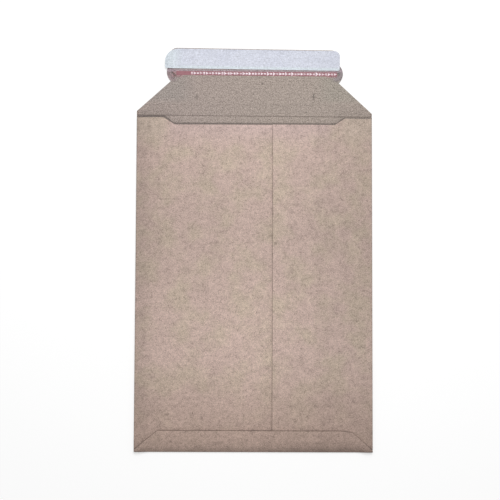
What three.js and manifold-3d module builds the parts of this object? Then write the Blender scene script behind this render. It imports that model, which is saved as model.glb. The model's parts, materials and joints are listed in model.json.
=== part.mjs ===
// A die-cut mailing envelope of corrugated cardboard, lying on its back with its
// closing flap open. One sheet is folded round into a flat sleeve: the left side
// panel goes under the right one, and a bottom flap is folded up over both and glued.
// The sleeve bulges a little, as it does when it is empty. The closing flap is joined
// to it by a narrow spine between two creases, and carries an adhesive strip with its
// release liner and a tear strip.
//
// Millimetres, +Z up. +X is to the right and +Y towards the closing flap, both as
// seen from the front. All outlines are measured from the crease at the mouth.

import * as THREE from 'three';
import { mergeVertices } from 'three/addons/utils/BufferGeometryUtils.js';
import Module from 'manifold-3d';

// Board
const BOARD = 1.5; // thickness of the corrugated board
const CRUSHED = 0.6; // board left under a crease line
const CREASE_BANK = 47; // slope of each bank of a crease, in degrees from upright
const LAYER_GAP = 0.3; // space between two layers that are glued together
const GLUE_CLEARANCE = 0.05; // left free above and below the glue in that space

// Sleeve
const BODY_WIDTH = 246;
const BODY_LENGTH = 349; // from the mouth crease to the bottom fold
const FOLD_GAP = 0.8; // space inside a side fold
const POCKET_MOUTH = 4.8; // height of the hollow at its crest, at the mouth
const POCKET_MIDDLE = 5.8; // the same, at the middle of the sleeve
const POCKET_BOTTOM = 1.2; // the same, at the bottom ends of the side panels
const MOUTH_RISE = 50; // length over which the hollow grows, behind the mouth
const BOTTOM_FALL = 130; // length over which it closes, before the bottom
const CREST_POWER = 3.2; // how flat the crest is from side to side
const SEAM_X = 19.3; // cut edge of the right side panel
const SEAM_OVERLAP = 41; // width of the left side panel that lies under the right one
const SEAM_LANDING = 2; // flat stretch of the right panel past that hidden edge

// Mouth
const SHOULDER_DROP_LEFT = 2.8; // crease to the top edge of the left shoulder
const SHOULDER_DROP_RIGHT = 3.6;
const NOTCH_DROP = 10.7; // crease to the straight edge of the notch
const NOTCH_RAMP_LEFT = [28, 42]; // outer and inner end of the left ramp, from the left side
const NOTCH_RAMP_RIGHT = [29, 39]; // and of the right one, from the right side
const NOTCH_ROUNDING = 7; // radius where the edge bends

// Bottom flap
const BOTTOM_FLAP = 22.8; // its height, from the bottom fold
const BOTTOM_FLAP_INSET = 24.5; // from each side to its corner, before that is rounded
const BOTTOM_FLAP_ANGLE = 40; // slope of its slanting edges, in degrees
const BOTTOM_FOLD_DEPTH = 6.5; // how far the bottom fold reaches past the side panels
const BOTTOM_CORNER_LEFT = 2; // radius of its left corner
const BOTTOM_CORNER_RIGHT = 24; // its right corner is worn rounder
const STEP_RAMP = 12; // length over which it climbs onto the right side panel

// Closing flap
const SPINE = 10.6; // from the mouth crease to the second crease
const FLAP_REACH = 70.7; // from the mouth crease to the far edge
const FLAP_SIDE = 3.4; // straight side above the crease, before the slanting edge
const HEAD_WIDTH = 179.4; // width of its outer part, which carries the strips
const HEAD_CORNER = 5.5;
const TAB_STANDOUT = 2.7; // how far the two rounded pull tabs stand out beside the head
const TAB_RADIUS = 12.5;
const TAB_LIFT = 0.6; // from the middle of the tear strip up to the middle of the tabs
const NECK_INSET = 1.2; // how far the neck below the tabs lies in from the head's sides
const NECK_DROP = 10.1; // from the middle of the tabs down to the neck
const FLAP_SKEW = 0.45; // the flap was die-cut this many degrees askew

// Strips on the closing flap, from its far edge down
const LINER_MARGIN = 1.1; // from the far edge to the liner
const LINER_WIDTH = 20.6;
const LINER_THICKNESS = 0.2;
const LINER_PAST_LEFT = 4.65; // how far it reaches past the head's left side
const LINER_PAST_RIGHT = 0.25; // and past its right side
const LINER_SKEW = 0.72; // it sits this many degrees askew
const LINER_CORNERS = [1.5, 1.5, 5.5, 11.5]; // from the lower left one, anticlockwise
const LINER_CURL = [11, 2.2]; // length and height of its lifted left end
const ADHESIVE_WIDTH = 15.5;
const ADHESIVE_THICKNESS = 0.2;
const ADHESIVE_INSET = 3.7; // from its ends to the head's sides
const TEAR_GAP = 2.4; // between the liner and the tear strip
const TEAR_WIDTH = 4.2;
const TEAR_THICKNESS = 0.15;
const TEAR_START = 7.5; // from the head's left side to the strip
const TEAR_END = 3.3; // from the strip to the head's right side
const TEAR_SKEW = 0.08;

// Slits through the board beyond the ends of the tear strip: distances in from the
// nearer side of the head, and up from the middle of the strip
const SLIT_WIDTH = 0.6;
const CHEVRON = [[2.5, 1.3], [7, -2.9], [4.7, -6.1]];
const STOP_SLIT = [[1.7, 0.9], [2.7, -2.1]];

// Glue
const SEAM_GLUE_WIDTH = 18;
const SEAM_GLUE_INSET = 20.9; // from its ends to the notch and to the bottom of the panels
const BOTTOM_GLUE_WIDTH = 9;
const BOTTOM_GLUE_INSET = 6.9; // from its ends to the corners of the bottom flap

// Flat facets along each curved stretch
const LEFT_PANEL_FACETS = 20;
const RIGHT_PANEL_FACETS = 14;
const BOTTOM_FALL_FACETS = 8;
const MOUTH_RISE_FACETS = 5;
const FOLD_FACETS = 8;
const BOTTOM_FOLD_FACETS = 10;
const BOTTOM_FLAP_FACETS = 5; // from the bottom fold to the flap's edge
const BOTTOM_RIGHT_FACETS = 8; // and across it, from the right side to the left one
const BOTTOM_OVERLAP_FACETS = 3;
const BOTTOM_STEP_FACETS = 6;
const BOTTOM_LEFT_FACETS = 12;
const CURL_FACETS = 8;
const GLUE_FACETS = 8;
const CORNER_FACETS = 6;
const OUTLINE_FACETS = 8;

const rad = THREE.MathUtils.degToRad;
const HALF_WIDTH = BODY_WIDTH / 2;
const FOLD_RADIUS = BOARD + FOLD_GAP / 2;
const FOLD_X = HALF_WIDTH - FOLD_RADIUS; // middle of a side fold
const HIDDEN_X = SEAM_X + SEAM_OVERLAP; // cut edge of the left side panel
const PANEL_END = BOTTOM_FOLD_DEPTH - BODY_LENGTH; // bottom ends of the side panels
const FLAP_CORNER_X = HALF_WIDTH - BOTTOM_FLAP_INSET;
const HEAD_X = HEAD_WIDTH / 2;
const LINER_HEIGHT = FLAP_REACH - LINER_MARGIN - LINER_WIDTH / 2;
const TEAR_HEIGHT = LINER_HEIGHT - LINER_WIDTH / 2 - TEAR_GAP - TEAR_WIDTH / 2;
const TAB_HEIGHT = TEAR_HEIGHT + TAB_LIFT;
const TALL = 6 * BOARD + POCKET_MIDDLE; // taller than anything that is cut
const CLEAR = 1; // how far a cutting body reaches past what it cuts

// Places along the sleeve where its section is set, from the bottom to the mouth.
const STATIONS = [
  ...steps(PANEL_END, PANEL_END + BOTTOM_FALL, BOTTOM_FALL_FACETS),
  ...steps(-NOTCH_DROP - MOUTH_RISE, -NOTCH_DROP, MOUTH_RISE_FACETS),
  0,
];

const wasm = await Module();
wasm.setup();

// A closed geometry as a solid that can be joined and cut.
function toSolid(geometry) {
  const bare = geometry.clone();
  bare.deleteAttribute('normal');
  bare.deleteAttribute('uv');
  const merged = mergeVertices(bare);
  const vertProperties = new Float32Array(merged.attributes.position.array);
  const triVerts = new Uint32Array(merged.index.array);
  return new wasm.Manifold(new wasm.Mesh({ numProp: 3, vertProperties, triVerts }));
}

function toGeometry(solid) {
  const mesh = solid.getMesh();
  const geometry = new THREE.BufferGeometry();
  geometry.setAttribute('position', new THREE.BufferAttribute(mesh.vertProperties, 3));
  geometry.setIndex(new THREE.BufferAttribute(mesh.triVerts, 1));
  geometry.computeVertexNormals();
  return geometry;
}

// An outline in the plane of the sheet, raised from one height to another.
function slab(points, bottom, top) {
  const shape = new THREE.Shape(points);
  const geometry = new THREE.ExtrudeGeometry(shape, { depth: top - bottom, bevelEnabled: false });
  return geometry.translate(0, 0, bottom);
}

// A profile of [y, z] points, drawn out along X right across the sheet.
function acrossX(profile) {
  const points = profile.map(([y, z]) => new THREE.Vector2(y, z));
  const depth = 2 * BODY_WIDTH;
  const geometry = new THREE.ExtrudeGeometry(new THREE.Shape(points), { depth, bevelEnabled: false });
  const alongX = new THREE.Vector3(1, 0, 0);
  const alongY = new THREE.Vector3(0, 1, 0);
  const alongZ = new THREE.Vector3(0, 0, 1);
  geometry.applyMatrix4(new THREE.Matrix4().makeBasis(alongY, alongZ, alongX));
  return geometry.translate(-BODY_WIDTH, 0, 0);
}

// A skin over one section after another, with a flat cap at each end. section(s) gives
// 2-D points, anticlockwise, and place(point, s) puts one in space. The stations run
// against the direction that the first cap faces.
function loft(stations, section, place) {
  const positions = [];
  const faces = [];
  const outlines = stations.map(section);
  const count = outlines[0].length;
  outlines.forEach((outline, row) => {
    outline.forEach((point) => positions.push(...place(point, stations[row]).toArray()));
  });
  for (let row = 0; row + 1 < stations.length; row += 1) {
    for (let i = 0; i < count; i += 1) {
      const a = row * count + i;
      const b = row * count + ((i + 1) % count);
      faces.push(a, b + count, b, a, a + count, b + count);
    }
  }
  const last = (stations.length - 1) * count;
  const firstCap = THREE.ShapeUtils.triangulateShape(outlines[0], []);
  const lastCap = THREE.ShapeUtils.triangulateShape(outlines[stations.length - 1], []);
  firstCap.forEach(([a, b, c]) => faces.push(a, b, c));
  lastCap.forEach(([a, b, c]) => faces.push(last + a, last + c, last + b));
  const geometry = new THREE.BufferGeometry();
  geometry.setAttribute('position', new THREE.Float32BufferAttribute(positions, 3));
  geometry.setIndex(faces);
  geometry.computeVertexNormals();
  return geometry;
}

// Evenly spaced numbers from start to end, both included.
function steps(start, end, count) {
  return Array.from({ length: count + 1 }, (_, i) => start + ((end - start) * i) / count);
}

// A polygon whose corners are [x, y, radius], with each corner rounded.
function rounded(corners) {
  const points = [];
  corners.forEach(([x, y, radius], i) => {
    const corner = new THREE.Vector2(x, y);
    if (!radius) {
      points.push(corner);
      return;
    }
    const before = new THREE.Vector2(...corners.at(i - 1).slice(0, 2)).sub(corner).normalize();
    const after = new THREE.Vector2(...corners[(i + 1) % corners.length].slice(0, 2));
    after.sub(corner).normalize();
    const halfAngle = Math.acos(THREE.MathUtils.clamp(before.dot(after), -1, 1)) / 2;
    const centre = before.clone().add(after).normalize();
    centre.multiplyScalar(radius / Math.sin(halfAngle)).add(corner);
    const run = radius / Math.tan(halfAngle);
    const start = corner.clone().addScaledVector(before, run).sub(centre);
    const end = corner.clone().addScaledVector(after, run).sub(centre);
    const turn = Math.atan2(start.cross(end), start.dot(end));
    steps(0, turn, CORNER_FACETS).forEach((angle) => {
      points.push(start.clone().rotateAround(new THREE.Vector2(), angle).add(centre));
    });
  });
  return points;
}

function rectangle(left, right, middleY, height, radii = [0, 0, 0, 0]) {
  const [low, high] = [middleY - height / 2, middleY + height / 2];
  const [lowLeft, lowRight, highRight, highLeft] = radii;
  const corners = [
    [left, low, lowLeft], [right, low, lowRight], [right, high, highRight], [left, high, highLeft],
  ];
  return rounded(corners);
}

// Turned clockwise in the plane of the sheet, about the middle of the mouth crease.
function skewed(points, degrees) {
  return points.map((point) => point.clone().rotateAround(new THREE.Vector2(), -rad(degrees)));
}

// Height of the hollow at its crest, at a place along the sleeve.
function pocketHeight(y) {
  const fromMouth = THREE.MathUtils.clamp((-NOTCH_DROP - y) / MOUTH_RISE, 0, 1);
  const fromBottom = THREE.MathUtils.clamp((y - PANEL_END) / BOTTOM_FALL, 0, 1);
  const mouthLoss = (POCKET_MIDDLE - POCKET_MOUTH) * (1 - fromMouth) ** 2;
  const bottomLoss = (POCKET_MIDDLE - POCKET_BOTTOM) * (1 - fromBottom) ** 2;
  return POCKET_MIDDLE - mouthLoss - bottomLoss;
}

// Underside of the left side panel, which is the ceiling of the hollow.
function leftUnder(x, y) {
  const fromCrest = Math.min(Math.abs(x) / FOLD_X, 1);
  const arch = 1 - fromCrest ** CREST_POWER;
  return BOARD + FOLD_GAP + (pocketHeight(y) - FOLD_GAP) * arch;
}

// The right side panel climbs from its fold onto the left one.
function rightUnder(x, y) {
  const climb = THREE.MathUtils.clamp((FOLD_X - x) / (FOLD_X - HIDDEN_X - SEAM_LANDING), 0, 1);
  return leftUnder(x, y) + (BOARD + LAYER_GAP) * (1 - (1 - climb) ** 2);
}

// The bottom flap lies on whichever side panel is uppermost.
function bottomFlapUnder(x, y) {
  if (x >= SEAM_X) {
    return rightUnder(x, y) + BOARD + LAYER_GAP;
  }
  const climb = THREE.MathUtils.smoothstep(x, SEAM_X - STEP_RAMP, SEAM_X);
  return leftUnder(x, y) + BOARD + LAYER_GAP + (BOARD + LAYER_GAP) * climb;
}

function arc(centreX, centreZ, radiusX, radiusZ, from, to, count) {
  return steps(rad(from), rad(to), count).map(
    (angle) => new THREE.Vector2(centreX + radiusX * Math.cos(angle), centreZ + radiusZ * Math.sin(angle)),
  );
}

// One section across the sleeve: left panel, left fold, back, right fold, right panel,
// first along the outer face of the board and then back along its inner face.
function sleeveSection(y) {
  const foldInside = FOLD_RADIUS - BOARD;
  const left = steps(HIDDEN_X, -FOLD_X, LEFT_PANEL_FACETS).slice(0, -1);
  const right = steps(FOLD_X, SEAM_X, RIGHT_PANEL_FACETS).slice(1);
  return [
    ...left.map((x) => new THREE.Vector2(x, leftUnder(x, y) + BOARD)),
    ...arc(-FOLD_X, FOLD_RADIUS, FOLD_RADIUS, FOLD_RADIUS, 90, 270, FOLD_FACETS),
    ...arc(FOLD_X, FOLD_RADIUS, FOLD_RADIUS, FOLD_RADIUS, -90, 90, FOLD_FACETS),
    ...right.map((x) => new THREE.Vector2(x, rightUnder(x, y) + BOARD)),
    ...right.toReversed().map((x) => new THREE.Vector2(x, rightUnder(x, y))),
    ...arc(FOLD_X, FOLD_RADIUS, foldInside, foldInside, 90, -90, FOLD_FACETS),
    ...arc(-FOLD_X, FOLD_RADIUS, foldInside, foldInside, 270, 90, FOLD_FACETS),
    ...left.toReversed().map((x) => new THREE.Vector2(x, leftUnder(x, y))),
  ];
}

// One section through the bottom fold and its flap, as [y, z]: from the back panel
// round the fold and up over the side panels, and back along the inner face.
function bottomSection(x) {
  const start = PANEL_END + BOARD + LAYER_GAP;
  const middleZ = (bottomFlapUnder(x, PANEL_END) + BOARD) / 2;
  const insideDepth = BOTTOM_FOLD_DEPTH - BOARD;
  const rise = steps(PANEL_END, BOTTOM_FLAP - BODY_LENGTH, BOTTOM_FLAP_FACETS).slice(1);
  const outer = [
    new THREE.Vector2(start, 0),
    ...arc(PANEL_END, middleZ, BOTTOM_FOLD_DEPTH, middleZ, 270, 90, BOTTOM_FOLD_FACETS),
    ...rise.map((y) => new THREE.Vector2(y, bottomFlapUnder(x, y) + BOARD)),
  ];
  const inner = [
    ...rise.toReversed().map((y) => new THREE.Vector2(y, bottomFlapUnder(x, y))),
    ...arc(PANEL_END, middleZ, insideDepth, middleZ - BOARD, 90, 270, BOTTOM_FOLD_FACETS),
    new THREE.Vector2(start, BOARD),
  ];
  return [...outer, ...inner].toReversed();
}

// What the die cuts away above the front panels' top edge.
function mouthCutter() {
  const far = BODY_WIDTH;
  const [leftOuter, leftInner] = NOTCH_RAMP_LEFT.map((inset) => inset - HALF_WIDTH);
  const [rightOuter, rightInner] = NOTCH_RAMP_RIGHT.map((inset) => HALF_WIDTH - inset);
  const outline = rounded([
    [-far, -SHOULDER_DROP_LEFT, 0],
    [leftOuter, -SHOULDER_DROP_LEFT, NOTCH_ROUNDING],
    [leftInner, -NOTCH_DROP, NOTCH_ROUNDING],
    [rightInner, -NOTCH_DROP, NOTCH_ROUNDING / 2],
    [rightOuter, -SHOULDER_DROP_RIGHT, NOTCH_ROUNDING / 2],
    [far, -SHOULDER_DROP_RIGHT, 0],
    [far, CLEAR, 0],
    [-far, CLEAR, 0],
  ]);
  return toSolid(slab(outline, BOARD + FOLD_GAP / 2, TALL));
}

// What the die cuts away beside the slanting edge of the bottom flap.
function bottomCornerCutter(side, radius) {
  const top = BOTTOM_FLAP - BODY_LENGTH;
  const fall = (BODY_WIDTH - FLAP_CORNER_X) * Math.tan(rad(BOTTOM_FLAP_ANGLE));
  const outline = rounded([
    [0, top + CLEAR, 0], [0, top, 0], [side * FLAP_CORNER_X, top, radius],
    [side * BODY_WIDTH, top - fall, 0], [side * BODY_WIDTH, top + CLEAR, 0],
  ]);
  const middleZ = (bottomFlapUnder(side * FOLD_X, PANEL_END) + BOARD) / 2;
  return toSolid(slab(outline, middleZ, TALL));
}

// What a crease takes from the board on one side of it: side 1 cuts all that lies
// before the crease and its bank beyond, and side -1 all that lies after it.
function creaseCutter(creaseY, side) {
  const top = BOARD + CLEAR;
  const bank = (top - CRUSHED) * Math.tan(rad(CREASE_BANK));
  const far = BODY_LENGTH;
  return toSolid(acrossX([
    [creaseY, -CLEAR], [creaseY, CRUSHED], [creaseY + side * bank, top],
    [creaseY - side * far, top], [creaseY - side * far, -CLEAR],
  ]));
}

// A slit of even width along a bent line, right through the board, near the head's
// left side (side -1) or its right side (side 1).
function slitCutter(side, line) {
  const place = ([inset, rise]) => new THREE.Vector2(side * (HEAD_X - inset), TEAR_HEIGHT + rise);
  const points = line.map(place);
  const across = points.map((point, i) => {
    const before = points[Math.max(i - 1, 0)];
    const after = points[Math.min(i + 1, points.length - 1)];
    const along = after.clone().sub(before).normalize();
    return new THREE.Vector2(-along.y, along.x).multiplyScalar(SLIT_WIDTH / 2);
  });
  const outline = [
    ...points.map((point, i) => point.clone().add(across[i])),
    ...points.map((point, i) => point.clone().sub(across[i])).reverse(),
  ];
  return toSolid(slab(outline, -CLEAR, TALL));
}

function envelopeBody() {
  const acrossY = (point, y) => new THREE.Vector3(point.x, y, point.y);
  const sleeve = toSolid(loft(STATIONS, sleeveSection, acrossY));
  const edge = HALF_WIDTH - LAYER_GAP;
  const bottomStations = [
    ...steps(edge, HIDDEN_X + SEAM_LANDING, BOTTOM_RIGHT_FACETS),
    ...steps(HIDDEN_X, SEAM_X, BOTTOM_OVERLAP_FACETS),
    ...steps(SEAM_X, SEAM_X - STEP_RAMP, BOTTOM_STEP_FACETS).slice(1),
    ...steps(SEAM_X - STEP_RAMP, -edge, BOTTOM_LEFT_FACETS).slice(1),
  ];
  const alongX = (point, x) => new THREE.Vector3(x, point.x, point.y);
  const bottom = toSolid(loft(bottomStations, bottomSection, alongX))
    .subtract(bottomCornerCutter(-1, BOTTOM_CORNER_LEFT))
    .subtract(bottomCornerCutter(1, BOTTOM_CORNER_RIGHT));
  const body = sleeve.subtract(mouthCutter()).add(bottom).subtract(creaseCutter(0, -1));
  return toGeometry(body);
}

// The whole outline beyond the mouth crease, spine included.
function flapOutline() {
  const tabX = HEAD_X + TAB_STANDOUT - TAB_RADIUS;
  const neckX = HEAD_X - NECK_INSET;
  const tabStart = Math.atan2(-NECK_DROP, neckX - tabX);
  const tabEnd = Math.acos((HEAD_X - tabX) / TAB_RADIUS);
  const cornerX = HEAD_X - HEAD_CORNER;
  const cornerY = FLAP_REACH - HEAD_CORNER;
  const rightHalf = new THREE.Path();
  rightHalf.moveTo(HALF_WIDTH, 0);
  rightHalf.lineTo(HALF_WIDTH, FLAP_SIDE);
  rightHalf.lineTo(neckX, TAB_HEIGHT - NECK_DROP);
  rightHalf.absarc(tabX, TAB_HEIGHT, TAB_RADIUS, tabStart, tabEnd, false);
  rightHalf.absarc(cornerX, cornerY, HEAD_CORNER, 0, Math.PI / 2, false);
  const right = rightHalf.getPoints(OUTLINE_FACETS);
  const left = right.map((point) => new THREE.Vector2(-point.x, point.y)).reverse();
  return [...right, ...left];
}

// The flap's outline, turned askew but still cut off square at the mouth crease.
function flapSheet() {
  const outline = skewed(flapOutline(), FLAP_SKEW);
  const inward = HALF_WIDTH * Math.tan(rad(FLAP_SKEW));
  const root = [
    new THREE.Vector2(-HALF_WIDTH, -inward),
    new THREE.Vector2(HALF_WIDTH, -inward),
  ];
  return toSolid(slab([...root, ...outline], 0, BOARD));
}

function flapSpine() {
  return toGeometry(flapSheet().subtract(creaseCutter(0, 1)).subtract(creaseCutter(SPINE, -1)));
}

function closingFlap() {
  const flap = flapSheet()
    .subtract(creaseCutter(SPINE, 1))
    .subtract(slitCutter(-1, CHEVRON))
    .subtract(slitCutter(1, STOP_SLIT));
  return toGeometry(flap);
}

function adhesiveStrip() {
  const end = HEAD_X - ADHESIVE_INSET;
  const outline = skewed(rectangle(-end, end, LINER_HEIGHT, ADHESIVE_WIDTH), LINER_SKEW);
  return slab(outline, BOARD, BOARD + ADHESIVE_THICKNESS);
}

// The liner lies on the adhesive, and its left end has come up in a curl.
function releaseLiner() {
  const [curlLength, curlHeight] = LINER_CURL;
  const base = BOARD + ADHESIVE_THICKNESS;
  const leftX = -HEAD_X - LINER_PAST_LEFT;
  const rightX = HEAD_X + LINER_PAST_RIGHT;
  const curlStart = leftX + curlLength;
  const lift = (x) => curlHeight * Math.max((curlStart - x) / curlLength, 0) ** 2;
  const along = [rightX + curlHeight, ...steps(curlStart, leftX - curlHeight, CURL_FACETS)];
  const section = [
    ...along.map((x) => new THREE.Vector2(x, base + LINER_THICKNESS + lift(x))),
    ...along.toReversed().map((x) => new THREE.Vector2(x, base + lift(x))),
  ];
  const place = (point, y) => new THREE.Vector3(point.x, y, point.y);
  const ends = [LINER_HEIGHT - LINER_WIDTH, LINER_HEIGHT + LINER_WIDTH];
  const strip = toSolid(loft(ends, () => section, place));
  const outline = rectangle(leftX, rightX, LINER_HEIGHT, LINER_WIDTH, LINER_CORNERS);
  return toGeometry(strip.intersect(toSolid(slab(skewed(outline, LINER_SKEW), 0, TALL))));
}

function tearStrip() {
  const outline = rectangle(TEAR_START - HEAD_X, HEAD_X - TEAR_END, TEAR_HEIGHT, TEAR_WIDTH);
  return slab(skewed(outline, TEAR_SKEW), BOARD, BOARD + TEAR_THICKNESS);
}

// A thin line of glue over x from left to right and y from low to high, midway in the
// gap above the surface that floor(x, y) gives.
function glueLine(left, right, low, high, floor) {
  const along = steps(right, left, GLUE_FACETS);
  const section = (y) => [
    ...along.map((x) => new THREE.Vector2(x, floor(x, y) + LAYER_GAP - GLUE_CLEARANCE)),
    ...along.toReversed().map((x) => new THREE.Vector2(x, floor(x, y) + GLUE_CLEARANCE)),
  ];
  const stations = [low, ...STATIONS.filter((y) => y > low && y < high), high];
  const place = (point, y) => new THREE.Vector3(point.x, y, point.y);
  return loft(stations, section, place);
}

function sideSeamGlue() {
  const middleX = SEAM_X + SEAM_OVERLAP / 2;
  const low = PANEL_END + SEAM_GLUE_INSET;
  const high = -NOTCH_DROP - SEAM_GLUE_INSET;
  const floor = (x, y) => leftUnder(x, y) + BOARD;
  return glueLine(middleX - SEAM_GLUE_WIDTH / 2, middleX + SEAM_GLUE_WIDTH / 2, low, high, floor);
}

// Each line under the bottom flap keeps to one side panel.
function bottomGlue(side) {
  const outer = FLAP_CORNER_X - BOTTOM_GLUE_INSET;
  const [left, right] = side > 0 ? [SEAM_X + LAYER_GAP, outer] : [-outer, SEAM_X - STEP_RAMP];
  const middleY = (PANEL_END + BOTTOM_FLAP - BODY_LENGTH) / 2;
  const [low, high] = [middleY - BOTTOM_GLUE_WIDTH / 2, middleY + BOTTOM_GLUE_WIDTH / 2];
  return glueLine(left, right, low, high, (x, y) => bottomFlapUnder(x, y) - LAYER_GAP);
}

const outerBoard = { color: 0xb59f93, roughness: 0.92, metalness: 0 };
const innerBoard = { color: 0xa4978e, roughness: 0.95, metalness: 0 };
const clearGlue = { color: 0xd9cfb4, roughness: 0.5, metalness: 0 };

const envelope = new THREE.Group();

function addPiece(name, geometry, finish) {
  const piece = new THREE.Mesh(geometry, new THREE.MeshStandardMaterial(finish));
  piece.name = name;
  envelope.add(piece);
}

addPiece('envelope_body', envelopeBody(), outerBoard);
addPiece('flap_spine', flapSpine(), innerBoard);
addPiece('closing_flap', closingFlap(), innerBoard);
addPiece('adhesive_strip', adhesiveStrip(), { color: 0xe6e2d2, roughness: 0.35, metalness: 0 });
addPiece('release_liner', releaseLiner(), { color: 0xd6d9e4, roughness: 0.6, metalness: 0 });
addPiece('tear_strip', tearStrip(), { color: 0xa37078, roughness: 0.45, metalness: 0 });
addPiece('side_seam_glue', sideSeamGlue(), clearGlue);
addPiece('bottom_glue_left', bottomGlue(-1), clearGlue);
addPiece('bottom_glue_right', bottomGlue(1), clearGlue);

// The middle of the whole outline stands at the origin.
envelope.position.y = -new THREE.Box3().setFromObject(envelope).getCenter(new THREE.Vector3()).y;

export default envelope;
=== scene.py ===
import json
import math

import bpy
import numpy as np
from mathutils import Matrix, Vector
from mathutils.geometry import delaunay_2d_cdt


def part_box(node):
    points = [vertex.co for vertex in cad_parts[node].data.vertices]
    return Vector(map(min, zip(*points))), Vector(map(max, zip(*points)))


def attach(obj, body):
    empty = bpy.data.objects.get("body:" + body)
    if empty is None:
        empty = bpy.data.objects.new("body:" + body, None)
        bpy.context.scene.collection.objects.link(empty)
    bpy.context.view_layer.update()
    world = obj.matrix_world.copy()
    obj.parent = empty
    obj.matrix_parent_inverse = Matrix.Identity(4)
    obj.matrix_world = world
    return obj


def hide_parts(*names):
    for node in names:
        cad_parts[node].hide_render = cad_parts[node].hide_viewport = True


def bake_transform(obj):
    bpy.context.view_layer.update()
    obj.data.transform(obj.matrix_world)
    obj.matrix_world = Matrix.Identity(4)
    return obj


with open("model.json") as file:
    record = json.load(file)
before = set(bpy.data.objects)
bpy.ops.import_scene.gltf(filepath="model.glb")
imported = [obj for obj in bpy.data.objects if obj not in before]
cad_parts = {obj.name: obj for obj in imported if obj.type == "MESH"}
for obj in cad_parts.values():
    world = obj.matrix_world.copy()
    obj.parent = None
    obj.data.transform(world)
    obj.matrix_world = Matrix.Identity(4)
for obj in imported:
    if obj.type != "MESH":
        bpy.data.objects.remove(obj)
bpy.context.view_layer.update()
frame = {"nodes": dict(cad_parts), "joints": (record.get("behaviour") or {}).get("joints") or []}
scene = bpy.context.scene

# A mailing envelope of corrugated board, lying open on its back. The board is made as
# the die cuts it: a flat sheet with its outline, grained and creased, then folded into
# place. Lengths are in millimetres here, and become metres when a mesh is made. X is to
# the right, Y towards the closing flap and Z up. Y is 0 at the mouth crease, and Z is 0
# under the board.

MM = 0.001
joints = {joint["name"]: joint["pos_m"] for joint in frame["joints"]}
CREASE_Y = joints["mouth_crease"][1] / MM
SPINE = joints["second_crease"][1] / MM - CREASE_Y  # from the first crease to the second
MEETING = SPINE / 2  # where the two pieces of board meet
body_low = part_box("envelope_body")[0] / MM
flap_low, flap_high = (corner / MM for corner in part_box("closing_flap"))
HALF_WIDTH = -body_low.x
BODY_LENGTH = CREASE_Y - body_low.y
BOARD = flap_high.z - flap_low.z

# Sleeve: close to the solids, with some values fitted further in the renders
FOLD_GAP = 0.8  # between the back and a panel at a side fold
LAYER_GAP = 0.3  # between glued layers
GLUE_CLEARANCE = 0.05
POCKET_MOUTH = 2.9  # the height inside at the mouth, further in and at the bottom
POCKET_MIDDLE = 5.65
POCKET_BOTTOM = 1.2
MOUTH_RISE = 50
BOTTOM_FALL = 130
CREST_POWER = 3.2
SEAM_X = 19.3
SEAM_OVERLAP = 41
SEAM_LANDING = 2
SEAM_EASE = 1.25
BOTTOM_FOLD_DEPTH = 6.5
BOTTOM_FLAP = 21.75
BOTTOM_FLAP_INSET = 24.5
STEP_RAMP = 12
SHOULDER_DROP_LEFT = 2.8
SHOULDER_DROP_RIGHT = 3.6
NOTCH_DROP = 10.4
NOTCH_LEFT = (28 - HALF_WIDTH, 40 - HALF_WIDTH)  # the ramp into the notch, from its outer end
NOTCH_RIGHT = (HALF_WIDTH - 29, HALF_WIDTH - 39)
NOTCH_ROUNDING = 7
FOLD_X = HALF_WIDTH - (BOARD + FOLD_GAP / 2)
HIDDEN_X = SEAM_X + SEAM_OVERLAP
PANEL_END = BOTTOM_FOLD_DEPTH - BODY_LENGTH

# Closing flap and its strips, likewise
FLAP_REACH = 70.7
FLAP_SIDE = 3.4
HEAD_X = 89.7
HEAD_CORNERS = (8, 8.5)
HEAD_TAPER = 0.9  # how much narrower the head is on its right
HEAD_SLOPE = 0.6  # how much lower the head is at its right corner
TAB_STANDOUT = 2.7
TAB_RADIUS = 12.5
TAB_LIFT = 0.8
NECK_INSET = 1.2
NECK_DROP = 10.1
FLAP_SKEW = math.radians(0.45)
LINER_MARGIN = 1.1
LINER_WIDTH = 20.9
LINER_THICKNESS = 0.2
LINER_PAST_LEFT = 4.65
LINER_PAST_RIGHT = -0.85  # it ends short of the head
LINER_SKEW = math.radians(0.62)
LINER_CORNERS = (1.5, 1.5, 5.5, 13.5)
LINER_CURL_LENGTH = 11
LINER_CURL_HEIGHT = 2.2
LINER_CREASE = 79
ADHESIVE_WIDTH = 15.5
ADHESIVE_THICKNESS = 0.2
TEAR_GAP = 2.3
TEAR_WIDTH = 4.2
TEAR_THICKNESS = 0.15
TEAR_START = 7.5
TEAR_END = 3.3
TEAR_SKEW = math.radians(0.26)
CHEVRON = ((2.5, 1.5), (7, -2.7), (4.7, -5.9))  # slits: in from the head's side, up from the tape
STOP_SLIT = ((1.7, 1.0), (2.5, -2.0))
SLIT_WIDTH = 0.9
SLIT_CLOSED = 0.03  # half the width that stays open at the outer face
LINER_Y = FLAP_REACH - LINER_MARGIN - LINER_WIDTH / 2
TEAR_Y = LINER_Y - LINER_WIDTH / 2 - TEAR_GAP - TEAR_WIDTH / 2
TAB_Y = TEAR_Y + TAB_LIFT

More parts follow.
